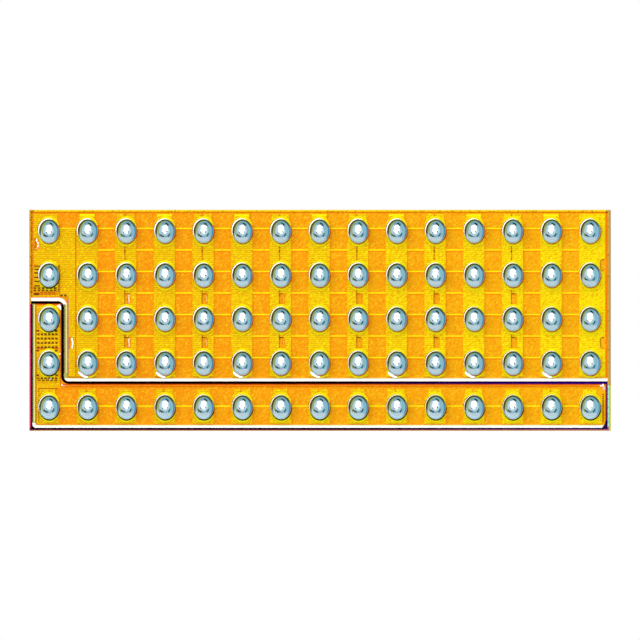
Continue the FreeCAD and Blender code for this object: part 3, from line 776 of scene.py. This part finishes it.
class DIE_OT_bus_metal(bpy.types.Operator):
    """Finish the bars, plates and pads, and add the bright caps on the necks of the switch bars"""

    bl_idname = "die.bus_metal"
    bl_label = "Bus metal"

    def execute(self, context):
        sizes = context.scene.die_sizes
        dress(BUS_NODES + PAD_NODES, "finger_metal")
        caps = bmesh.new()
        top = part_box("switch_bar_01")[1].y
        half = sizes.neck_width / 2
        for column in ODD_COLUMNS:
            middle = column_x(column) - sizes.bar_offset
            add_plate(caps, middle - half, middle + half, top - 0.026 * MM, top - 0.003 * MM, BUS_TOP)
        add_piece("neck_caps", caps, "bright_gate_metal")

        # The slit floors are painted at the film's lightest amber: painted light that offsets the shade in
        # the narrow slits.
        slits = bmesh.new()
        half = 0.006 * MM
        clear = sizes.bump_length / 2 + 0.01 * MM
        for column in TAP_COLUMNS:
            middle = column_x(column) - sizes.slit_offset
            for row in (1, 2, 3, 4):
                high = top if row == 1 else row_y(row - 1) - clear
                add_plate(slits, middle - half, middle + half, row_y(row) + clear, high, FIELD_TOP)
        add_piece("slit_floors", slits, "thin_polyimide")
        return {"FINISHED"}


class DIE_OT_gate_taps(bpy.types.Operator):
    """Add what shows in the gate taps: a tan poly line, a burnt orange floor and painted white glints at the
    right
    """

    bl_idname = "die.gate_taps"
    bl_label = "Gate taps"

    def execute(self, context):
        sizes = context.scene.die_sizes
        lines, floors, glints, fades, patches = (bmesh.new() for piece in range(5))
        half = sizes.tap_length / 2 - 0.006 * MM
        full_glint = 0.8 * half
        for column in TAP_COLUMNS:
            left = column_x(column) - sizes.slit_offset - 0.007 * MM
            right = left + sizes.tap_width
            # The painted glints shorten and fade towards the far end: white at column 2, pale yellow at
            # columns 4 and 6, and none beyond.
            glint = full_glint * (1 - (column - 2) / 8)
            edges = glints if column == 2 else fades
            for row in (3, 4):
                middle = row_y(row) + sizes.tap_rise
                low = middle - half
                high = middle + half
                add_plate(lines, left + 0.001 * MM, left + 0.009 * MM, low, high, FIELD_TOP, 2)
                for y in (low, high):
                    add_dashes(lines, left + 0.012 * MM, right - 0.006 * MM, y, 0.006 * MM, FIELD_TOP)
                if column < 8:
                    add_uprights(floors, right, middle, glint, 0.006, [(-0.5, 0.2, 0.032)])
                    glint_rows = ((0.45, 1.0, 0.019), (0.0, 0.35, 0.021), (-0.6, -0.1, 0.017))
                    add_uprights(edges, right, middle, glint, 0.0055, glint_rows, 2)
                if column == 2:
                    add_uprights(patches, right, middle, glint, 0.008, [(-1.0, -0.65, 0.021)], 2)

        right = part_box("ground_end_bar")[1].x
        left = right - sizes.edge_tap_width
        for middle in (row_y(2) + sizes.right_tap_rise, row_y(4) + sizes.tap_rise):
            for y in (middle - half, middle + half):
                add_dashes(lines, left, right, y, 0.007 * MM, FIELD_TOP)
            add_plate(lines, left, left + 0.007 * MM, middle - half, middle + half, FIELD_TOP)

        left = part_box("ground_end_plate")[0].x
        right = left + sizes.edge_tap_width
        middle = row_y(2) + sizes.left_tap_rise
        add_uprights(floors, left, middle, half, 0.012, [(-0.7, 0.5, -0.014)])
        add_plate(lines, left, left + 0.008 * MM, middle - half, middle + half, FIELD_TOP)
        add_dashes(lines, left + 0.01 * MM, right - 0.02 * MM, middle - half, 0.007 * MM, FIELD_TOP)
        glint_rows = ((0.5, 1.0, 0.026), (0.1, 0.4, 0.015), (-0.5, -0.1, 0.014))
        add_uprights(glints, right, middle, half, 0.01, glint_rows)
        add_uprights(patches, right, middle, half, 0.01, [(-0.9, -0.6, 0.02)])

        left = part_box("island_dielectric")[0].x + sizes.gate_part_width + 0.077 * MM
        right = left + sizes.edge_tap_width
        middle = row_y(4) + sizes.tap_rise
        glint_rows = ((0.35, 0.95, 0.026), (-0.4, 0.4, 0.018), (-0.95, -0.45, 0.024))
        add_uprights(glints, right, middle, half, 0.011, glint_rows)
        add_plate(lines, left, left + 0.008 * MM, middle - half, middle + half, FIELD_TOP)
        for name, shape, finish_name in (
            ("tap_lines", lines, "tan_edge"), ("tap_floors", floors, "burnt_orange_edge"),
            ("tap_glints", glints, "pale_nitride"), ("tap_fades", fades, "pale_yellow_film"),
            ("tap_patches", patches, "pink_nitride"),
        ):
            add_piece(name, shape, finish_name)
        return {"FINISHED"}


class DIE_OT_gate_pads(bpy.types.Operator):
    """Add the poly dashes and outlines that show on the gate pads"""

    bl_idname = "die.gate_pads"
    bl_label = "Gate pads"

    def execute(self, context):
        second_floor = BUS_TOP + context.scene.die_sizes.film
        lines = bmesh.new()
        fields = bmesh.new()
        low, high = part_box("low_side_gate_pad")
        width = (high.x - low.x) / MM
        add_plate_at(fields, low.x, high.y, (0, width - 0.01, -0.3, -0.262), BUS_TOP)
        add_piece("pad_fields", fields, "dark_amber_edge")
        for drop in (0.032, 0.069, 0.115, 0.156, 0.203):
            add_plate_at(lines, low.x, high.y, (0.006, 0.061, -drop - 0.007, -drop + 0.007), BUS_TOP)
        for drop in (0.226, 0.25):
            add_dashes(lines, low.x, high.x - 0.012 * MM, high.y - drop * MM, 0.017 * MM, BUS_TOP)
        for drop in (0.272, 0.288):
            y = high.y - drop * MM
            add_dashes(lines, low.x + 0.07 * MM, high.x - 0.03 * MM, y, 0.006 * MM, second_floor)
        add_plate_at(lines, low.x, high.y, (0, 0.06, -0.3, -0.275), second_floor)
        add_plate_at(lines, high.x, high.y, (-0.01, -0.003, -0.26, 0), BUS_TOP)
        add_plate_at(lines, low.x, high.y, (0, width - 0.01, -0.009, -0.002), BUS_TOP)
        y = GUARD_TOP + 0.024 * MM
        add_dashes(lines, high.x + 0.014 * MM, high.x + 0.09 * MM, y, 0.022 * MM, BUS_TOP)

        # Rows of dashes on the island's pads: insets from the sides, drop below the bump row and thickness.
        whole_rows = {
            "high_side_gate_pad": [(0.006, 0.002, drop, 0.02) for drop in (0.155, 0.2, 0.245, 0.289)],
            "gate_return_pad": [(0.006, 0.004, 0.155, 0.018), (0.012, 0.004, 0.176, 0.014)],
        }
        # Rows that a bump parts: drop below the bump row, and the length at the left and right.
        parted_rows = {
            "high_side_gate_pad": [(0.325, 0.04, 0.045), (0.12, 0.04, 0.045)],
            "gate_return_pad": [(0.125, 0.04, 0.04)],
        }
        for row, node in ((3, "high_side_gate_pad"), (4, "gate_return_pad")):
            low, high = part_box(node)
            for inset_left, inset_right, drop, thickness in whole_rows[node]:
                left = low.x + inset_left * MM
                right = high.x - inset_right * MM
                add_dashes(lines, left, right, row_y(row) - drop * MM, thickness * MM, BUS_TOP)
            for drop, at_left, at_right in parted_rows[node]:
                y = row_y(row) - drop * MM
                add_dashes(lines, low.x, low.x + at_left * MM, y, 0.018 * MM, BUS_TOP)
                add_dashes(lines, high.x - at_right * MM, high.x, y, 0.018 * MM, BUS_TOP)

        # A brown line follows the first input bar's left side, and goes on over the film above the bar.
        low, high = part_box("input_bar_00")
        left = low.x + 0.021 * MM
        add_plate(lines, left, high.x - 0.006 * MM, high.y + 0.002 * MM, high.y + 0.008 * MM, FIELD_TOP)
        above = FIELD_TOP + context.scene.die_sizes.film
        add_plate_at(lines, left, high.y, (0, 0.006, -0.08, 0.002), above)
        add_plate(lines, left, left + 0.006 * MM, low.y + 0.02 * MM, high.y - 0.112 * MM, BUS_TOP)
        add_piece("pad_lines", lines, "brown_poly_line")
        return {"FINISHED"}


class DIE_OT_edges(bpy.types.Operator):
    """Finish the guard strips, the seal ring and the thin lines, and add the bare spots, painted glints and
    painted shade beside them
    """

    bl_idname = "die.edges"
    bl_label = "Edges"

    def execute(self, context):
        dress(["low_side_guard_strip", "island_guard_strip"], "pale_guard_metal")
        dress(["seal_ring"], "ring_metal")
        dress(["island_edge_line"], "dark_amber_edge")

        # White wedges of painted highlight beside the row 4 bumps of the odd columns.
        wedges = bmesh.new()
        corners = (
            (-0.096, -0.085), (-0.07, -0.1), (-0.03, -0.128), (-0.002, -0.137), (0.006, -0.149),
            (-0.03, -0.149), (-0.07, -0.13), (-0.096, -0.105),
        )
        for column in ODD_COLUMNS:
            add_polygon(wedges, from_point(column_x(column), row_y(4), corners), BUS_TOP, 4)
        add_piece("pale_wedges", wedges, "pale_nitride")

        low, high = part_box("island_dielectric")
        part_right = low.x + context.scene.die_sizes.gate_part_width
        right = high.x
        pad_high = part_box("high_side_gate_pad")[1]
        line_low, line_high = EDGE_LINE_LOW, EDGE_LINE_HIGH
        spots = bmesh.new()
        glints = bmesh.new()
        # The glint at the gate part's corner lies partly on the pad and partly on the film beside it.
        corners = ((-0.021, -0.001), (-0.01, -0.013), (-0.001, -0.022), (-0.001, -0.001))
        add_polygon(glints, from_point(pad_high.x, pad_high.y, corners), BUS_TOP, 4)
        at_pad = ((-0.021, 0.001), (0.002, 0.001), (0.002, -0.024))
        at_slope = ((-0.008, -0.04), (-0.003, -0.047), (-0.003, -0.012), (-0.018, 0.012))
        corners = from_point(pad_high.x, pad_high.y, at_pad) + from_point(part_right, pad_high.y, at_slope)
        add_polygon(glints, corners, FIELD_TOP, 3)
        bottom = row_y(4) + 0.088 * MM
        left = pad_high.x + 0.003 * MM
        add_plate(glints, left, part_right - 0.009 * MM, bottom, bottom + 0.014 * MM, FIELD_TOP, 2)
        add_plate_at(glints, line_low.x, ROW_TOP, (-0.011, -0.001, -0.014, -0.002), FIELD_TOP, 2)
        bottom = line_low.y + 0.001 * MM
        add_plate(glints, line_high.x - 0.026 * MM, line_high.x, bottom, line_high.y, BUS_TOP)
        left = line_high.x + 0.001 * MM
        add_plate(glints, left, left + 0.013 * MM, line_low.y - 0.004 * MM, ROW_TOP, FIELD_TOP, 2)
        add_plate_at(spots, line_low.x, line_low.y, (0.001, 0.022, 0.001, 0.01), BUS_TOP, 2)
        add_plate_at(spots, right, line_low.y, (-0.034, -0.012, -0.035, -0.006), FIELD_TOP, 2)
        add_plate_at(spots, column_x(0), row_y(4), (0.001, 0.025, -0.17, -0.157), BUS_TOP, 3)
        add_piece("pink_spots", spots, "pink_nitride")
        add_piece("corner_glints", glints, "pale_nitride")

        marks = bmesh.new()
        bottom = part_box("input_bar_14")[0].y
        strip_low, strip_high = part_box("island_guard_strip")
        strip_length = strip_high.y - strip_low.y
        step = 0.021 * MM
        # Columns of marks: left side, width, start, length, and the share of a step that a mark takes up.
        for x, width, start, length, share in (
            (right - 0.04 * MM, 0.014, bottom + 0.02 * MM, line_low.y - bottom - 0.08 * MM, 0.6),
            (strip_low.x + 0.032 * MM, 0.007, strip_low.y + 0.06 * MM, strip_length - 0.1 * MM, 0.5),
        ):
            for number in range(int(length / step)):
                y = start + number * step
                add_plate(marks, x, x + width * MM, y, y + share * step, FIELD_TOP, 2)
        add_piece("edge_marks", marks, "brown_poly_line")

        fades = bmesh.new()
        shades = bmesh.new()
        run_low, run_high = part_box("low_side_guard_strip")
        run_top = run_low.y + GUARD_WIDTH
        strip_top = strip_low.y + STRIP_WIDTH
        fade = 0.009 * MM
        add_plate(fades, part_right + 0.09 * MM, run_high.x, run_top - fade, run_top, run_high.z)
        add_plate(fades, strip_low.x + 0.04 * MM, strip_high.x, strip_top - fade, strip_top, strip_high.z)
        # The upright runs fade towards the die's middle, and their other sides carry a strip of painted
        # shade.
        upright = part_right + 0.029 * MM
        for x, bottom, top, fade_left, fade_right, shade, floor in (
            (upright, run_top + 0.05 * MM, run_high.y - 0.06 * MM, 0.02, 0.032, 0.005, run_high.z),
            (strip_low.x, strip_top + 0.03 * MM, strip_high.y - 0.01 * MM, 0.015, 0.028, 0.004, strip_high.z),
        ):
            add_plate(fades, x + fade_left * MM, x + fade_right * MM, bottom, top, floor)
            add_plate(shades, x, x + shade * MM, bottom, top, floor)
        add_piece("strip_fades", fades, "pale_yellow_film")
        add_piece("strip_shades", shades, "black_violet_oxide")

        violet = bmesh.new()
        foot = part_right + 0.066 * MM
        top = run_high.y - 0.05 * MM
        add_plate(violet, foot, foot + 0.007 * MM, line_low.y + 0.13 * MM, top, FIELD_TOP, 3)
        add_plate_at(violet, foot, run_high.y, (-0.004, 0.009, -0.048, -0.02), FIELD_TOP, 3)
        corners = ((-0.017, 0.014), (-0.002, -0.01), (-0.002, -0.05), (0, -0.05), (0, -0.004), (-0.01, 0.014))
        add_polygon(violet, from_point(part_right, pad_high.y, corners), FIELD_TOP, 3)
        add_piece("violet_line", violet, "violet_oxide")

        # A nearly black corner spot of painted shade at the island's far end.
        dark = bmesh.new()
        left_side = [(strip_high.x, strip_low.y), (strip_high.x, strip_top)]
        slope = [(right - 0.022 * MM, strip_top), (right - 0.045 * MM, strip_low.y)]
        add_polygon(dark, left_side + slope, strip_high.z, 3)
        corners = from_point(right, strip_top, ((0, 0.001), (0, 0.06), (-0.02, 0.001)))
        add_polygon(dark, corners, FIELD_TOP, 3)
        add_piece("corner_spot", dark, "black_violet_oxide")
        return {"FINISHED"}


class DIE_OT_bump_lips(bpy.types.Operator):
    """Add the lip of the nitride opening round each bump: a painted highlight at the upper left and painted
    shadow, orange or dark, elsewhere, with yellow rings of painted light
    """

    bl_idname = "die.bump_lips"
    bl_label = "Bump lips"

    def execute(self, context):
        collars, pale, brown, orange, dark = (bmesh.new() for piece in range(5))
        for row in range(1, 6):
            for column in COLUMNS:
                x = column_x(column)
                y = row_y(row)
                # The pale lips are painted highlight. The openings sit lower and further right under the
                # bumps from row to row and column to column, so their upper left lips show less.
                lip = context.scene.die_sizes.lip - (row - 1) * 0.0011 * MM - column * 0.0002 * MM
                # Yellow rings of painted light, above and below, offset the shade that each bump casts round
                # itself.
                add_crescent(collars, x, y, 20, 160, 0.03 * MM, 1)
                add_crescent(collars, x, y, 200, 340, 0.03 * MM, 1)
                # Brown painted shade edges the pale lip, which is a painted highlight.
                add_crescent(brown, x, y, 85, 200, lip + 0.006 * MM, 2)
                add_crescent(pale, x, y, 66, 206, lip, 3)
                # Painted shadow at the lower side and right: dark on row 5 and on column 0 below row 1,
                # orange elsewhere.
                if row == 5 or (column == 0 and row > 1):
                    add_crescent(dark, x, y, 195, 380, 0.013 * MM, 2)
                else:
                    add_crescent(orange, x, y, 205, 400, 0.011 * MM, 2)
        for name, shape, finish_name in (
            ("collars", collars, "bright_gate_metal"), ("lips_dark", dark, "shaded_opening"),
            ("lips_pale", pale, "pale_nitride"), ("lips_brown", brown, "brown_poly_line"),
            ("lips_orange", orange, "burnt_orange_edge"),
        ):
            add_piece(name, shape, finish_name)
        return {"FINISHED"}


def add_bump(shape, x, y, foot):
    """One reflowed bump: an oval ball that is flatter above its belly than below, cut off at its foot."""
    sizes = bpy.context.scene.die_sizes
    above = CAD_HIGH.z - foot - sizes.belly_height
    # The foot is as wide as the belly's oval is 42 degrees below the belly.
    below = sizes.belly_height / math.sin(math.radians(42))
    ball = bmesh.new()
    bmesh.ops.create_uvsphere(ball, u_segments=40, v_segments=24, radius=1)
    for corner in ball.verts:
        corner.co.z *= above if corner.co.z > 0 else below
    bmesh.ops.scale(ball, vec=(sizes.bump_width / 2, sizes.bump_length / 2, 1), verts=ball.verts)
    cut = bmesh.ops.bisect_plane(
        ball, geom=ball.verts[:] + ball.edges[:] + ball.faces[:], plane_co=(0, 0, -sizes.belly_height),
        plane_no=(0, 0, -1), clear_outer=True,
    )
    rim = [item for item in cut["geom_cut"] if isinstance(item, bmesh.types.BMEdge)]
    bmesh.ops.edgenet_fill(ball, edges=rim)
    bmesh.ops.translate(ball, vec=(x, y, foot + sizes.belly_height), verts=ball.verts)
    single = bpy.data.meshes.new("single_bump")
    ball.to_mesh(single)
    ball.free()
    shape.from_mesh(single)
    bpy.data.meshes.remove(single)


class DIE_OT_bumps(bpy.types.Operator):
    """Replace each group of faceted bumps by smooth ones, and finish their plated pads"""

    bl_idname = "die.bumps"
    bl_label = "Bumps"

    def execute(self, context):
        dress(["low_side_bump_pads", "island_bump_pads"], "nickel_plating")
        single_low, single_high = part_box("low_side_gate_bump")
        half = (single_high.x - single_low.x) / 2
        for node in BUMP_NODES:
            low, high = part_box(node)
            steps = round((high.x - low.x - 2 * half) / (2 * COLUMN_PITCH))
            bumps = bmesh.new()
            for step in range(steps + 1):
                add_bump(bumps, low.x + half + step * 2 * COLUMN_PITCH, (low.y + high.y) / 2, low.z)
            piece = add_piece(f"smooth_{node}", bumps, "reflowed_solder")
            piece.data.shade_smooth()
            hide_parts(node)
        return {"FINISHED"}


def seen(tree):
    """1 for the camera's and reflected rays, and 0 for the rays that light the scene."""
    rays = add_node(tree, "ShaderNodeLightPath").outputs
    direct = combine(tree, rays["Is Camera Ray"], rays["Is Glossy Ray"], "MAXIMUM")
    return combine(tree, direct, rays["Is Transmission Ray"], "MAXIMUM")


def white_paper():
    """White paper that the camera and reflections see at full white, and that still takes a soft shadow."""
    finish, tree = new_material("white_paper")
    paper = add_node(tree, "ShaderNodeBsdfDiffuse", {"Color": (*linear("f4f4f4"), 1)}).outputs[0]
    glow = add_node(tree, "ShaderNodeEmission", {"Color": (1, 1, 1, 1), "Strength": 1.0}).outputs[0]
    return close_material(finish, "ShaderNodeMixShader", {0: seen(tree), 1: paper, 2: glow})


# The studio cards by the radius of their dome: name, colour, low and high tilt, start and end turn.
CARDS = {
    0.048: (
        ("light_blue_card_left", "c0dcea", 42, 62, 120, 215), ("teal_card_upper", "7cb2c0", 50, 68, 50, 130),
        ("olive_card_left", "a6b468", 62, 94, 130, 215), ("teal_card_rim", "62a0ac", 68, 94, 50, 130),
        ("light_teal_lower", "c4dee4", 15, 32, 195, 345), ("teal_smile", "76b2c0", 32, 42, 210, 340),
        ("pale_card_lower", "cfdfe6", 42, 94, 215, 320), ("teal_card_right", "94c6d2", 42, 94, -40, 50),
    ),
    0.047: (
        ("soft_edge_left", "d8ecf6", 28, 42, 130, 215), ("soft_edge_right", "cce6f0", 24, 42, -40, 50),
        ("soft_edge_upper", "e2f0f6", 42, 50, 50, 130),
    ),
    0.046: (
        ("dark_flag_top", "000204", 52, 68, 68, 90), ("dark_flag_upper_right", "000204", 44, 62, 50, 70),
        ("dark_flag_left", "0a2834", 50, 62, 196, 214), ("dark_flag_lower_left", "000204", 42, 55, 208, 232),
        ("dark_flag_lower", "0c3440", 36, 45, 228, 248),
        ("teal_flag_lower_right", "1c6474", 38, 54, 306, 346),
        ("dark_flag_middle", "0c1c24", 9, 20, -28, 24), ("grey_flag_middle", "54707c", 24, 35, 180, 206),
    ),
}


def add_card(name, colour, radius, low_tilt, high_tilt, start, end):
    """A curved card on a dome round the die. Tilts are from the vertical and turns from +X, in degrees."""
    shape = bmesh.new()
    steps = 6
    for step in range(steps + 1):
        tilt = math.radians(low_tilt + (high_tilt - low_tilt) * step / steps)
        shape.verts.new((radius * math.sin(tilt), 0, radius * math.cos(tilt)))
    shape.verts.ensure_lookup_table()
    for step in range(steps):
        shape.edges.new((shape.verts[step], shape.verts[step + 1]))
    first_turn = Matrix.Rotation(math.radians(start), 3, "Z")
    bmesh.ops.rotate(shape, cent=(0, 0, 0), matrix=first_turn, verts=shape.verts)
    bmesh.ops.spin(
        shape, geom=shape.verts[:] + shape.edges[:], cent=(0, 0, 0), axis=(0, 0, 1),
        angle=math.radians(end - start), steps=16,
    )
    finish = new_material(name)[0]
    close_material(finish, "ShaderNodeEmission", {"Color": (*linear(colour), 1), "Strength": 1.0})
    card = make_object(name, shape, finish)
    card.visible_camera = False
    card.visible_diffuse = False
    card.visible_shadow = False


class DIE_OT_stage(bpy.types.Operator):
    """Set up the white floor, the soft light, the studio cards and the camera"""

    bl_idname = "die.stage"
    bl_label = "Stage"

    def execute(self, context):
        scene = context.scene
        scene.view_settings.view_transform = "Standard"
        floor = bmesh.new()
        bmesh.ops.create_grid(floor, x_segments=1, y_segments=1, size=0.5)
        bmesh.ops.translate(floor, vec=(0, 0, -0.000002), verts=floor.verts)
        paper = make_object("floor", floor, white_paper())

        world = bpy.data.worlds.new("soft_studio")
        scene.world = world
        world.use_nodes = True
        tree = world.node_tree
        tree.nodes.clear()
        fill = add_node(tree, "ShaderNodeBackground", {"Color": (1, 1, 1, 1), "Strength": 0.53})
        white = add_node(tree, "ShaderNodeBackground", {"Color": (1, 1, 1, 1), "Strength": 1.0})
        inputs = {0: seen(tree), 1: fill.outputs[0], 2: white.outputs[0]}
        mix = add_node(tree, "ShaderNodeMixShader", inputs)
        add_node(tree, "ShaderNodeOutputWorld", {"Surface": mix.outputs[0]})

        softbox = bpy.data.lights.new("softbox", "AREA")
        softbox.shape = "DISK"
        softbox.size = 0.07
        radiance = 1.6
        softbox.energy = radiance * math.pi * math.pi * (softbox.size / 2) ** 2
        lamp = bpy.data.objects.new("softbox", softbox)
        toward = Vector((-0.16, 0.36, 1)).normalized()
        lamp.location = toward * 0.05
        lamp.rotation_mode = "QUATERNION"
        lamp.rotation_quaternion = toward.to_track_quat("Z", "Y")
        scene.collection.objects.link(lamp)
        for radius, cards in CARDS.items():
            for name, colour, *angles in cards:
                add_card(name, colour, radius, *angles)

        lens = bpy.data.cameras.new("camera")
        lens.type = "ORTHO"
        # The photo is 640 pixels wide and shows a millimetre as 96.67 of them.
        lens.ortho_scale = 640 / 96.67 * MM
        lens.clip_start = 0.001
        lens.clip_end = 1.0
        camera = bpy.data.objects.new("camera", lens)
        camera.location = (-0.0016 * MM, 0.003 * MM, 0.03)
        scene.collection.objects.link(camera)
        scene.camera = camera
        return {"FINISHED"}


class DIE_PT_panel(bpy.types.Panel):
    """Sizes, colours and steps of the die"""

    bl_idname = "DIE_PT_panel"
    bl_label = "Mosfet die"
    bl_space_type = "VIEW_3D"
    bl_region_type = "UI"
    bl_category = "Die"

    def draw(self, context):
        for group in (context.scene.die_sizes, context.scene.die_colours):
            for name in group.__annotations__:
                self.layout.prop(group, name)
        for step in STEPS:
            self.layout.operator(step.bl_idname)


STEPS = (
    DIE_OT_stage, DIE_OT_silicon, DIE_OT_amber_film, DIE_OT_bus_metal, DIE_OT_gate_taps, DIE_OT_gate_pads,
    DIE_OT_edges, DIE_OT_bump_lips, DIE_OT_bumps,
)
CLASSES = (DieSizes, DieColours, *STEPS, DIE_PT_panel)


def register():
    for kind in CLASSES:
        bpy.utils.register_class(kind)
    bpy.types.Scene.die_sizes = bpy.props.PointerProperty(type=DieSizes)
    bpy.types.Scene.die_colours = bpy.props.PointerProperty(type=DieColours)


def unregister():
    del bpy.types.Scene.die_colours
    del bpy.types.Scene.die_sizes
    for kind in reversed(CLASSES):
        bpy.utils.unregister_class(kind)


def main():
    register()
    bpy.ops.die.stage()
    bpy.ops.die.silicon()
    bpy.ops.die.amber_film()
    bpy.ops.die.bus_metal()
    bpy.ops.die.gate_taps()
    bpy.ops.die.gate_pads()
    bpy.ops.die.edges()
    bpy.ops.die.bump_lips()
    bpy.ops.die.bumps()


if __name__ == "__main__":
    main()
